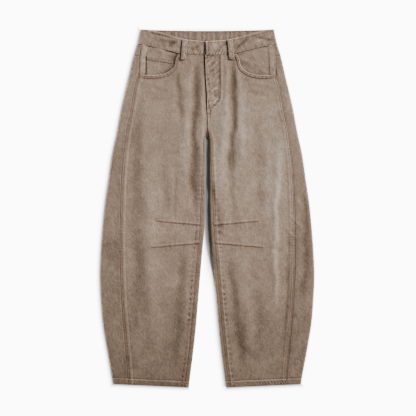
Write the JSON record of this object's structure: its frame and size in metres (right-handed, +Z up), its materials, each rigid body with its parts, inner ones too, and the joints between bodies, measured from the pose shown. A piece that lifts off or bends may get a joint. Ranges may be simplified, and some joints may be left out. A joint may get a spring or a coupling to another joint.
{
  "type": "barrel leg trousers",
  "caption": "Barrel leg trousers in washed taupe denim, laid flat front up, with curved outseams, a tabbed waistband, a concealed fly and knee darts.",
  "frame": {"origin": "bottom centre of the laid garment: the middle of its box, on the surface it lies on", "axes": "+Z up out of the front; +Y from the hems to the waist; +X to the wearer's left"},
  "size_m": [0.609, 1.0184, 0.0103],
  "materials": {
    "denim": "matt washed twill"
  },
  "bodies": {
    "root": {"back_leg_left": "denim", "back_leg_right": "denim", "back_yoke_left": "denim", "back_yoke_right": "denim", "belt_loop_left": "denim", "belt_loop_right": "denim", "coin_pocket": "denim", "front_leg_left": "denim", "front_leg_right": "denim", "pocket_facing_left": "denim", "pocket_facing_right": "denim", "waistband": "denim"}
  },
  "joints": []
}
